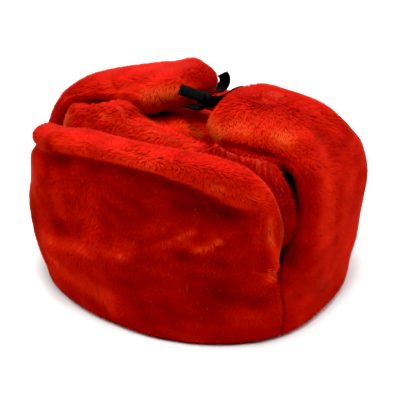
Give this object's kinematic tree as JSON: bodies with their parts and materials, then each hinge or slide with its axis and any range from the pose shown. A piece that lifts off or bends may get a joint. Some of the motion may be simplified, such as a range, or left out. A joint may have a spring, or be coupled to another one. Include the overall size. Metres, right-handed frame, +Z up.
{
  "type": "ushanka",
  "caption": "Padded fur hat with a turned-up front visor and ear flaps folded over the soft crown, their tips tied with black tape above it.",
  "frame": {"origin": "middle of the hat's bounding box, on the plane it rests on", "axes": "+Z up out of the head opening, -Y to the front of the hat, +X to the wearer's left"},
  "size_m": [0.2539, 0.2402, 0.1739],
  "materials": {
    "red_fur": "short dense sheared pile, soft sheen",
    "black_cotton_tape": "matt woven tape"
  },
  "bodies": {
    "root": {"crown": "red_fur", "front_visor": "red_fur", "left_ear_flap": "red_fur", "right_ear_flap": "red_fur", "tie_knot": "black_cotton_tape", "left_tie": "black_cotton_tape", "right_tie": "black_cotton_tape", "side_tail": "black_cotton_tape", "upright_tail": "black_cotton_tape"}
  },
  "joints": []
}
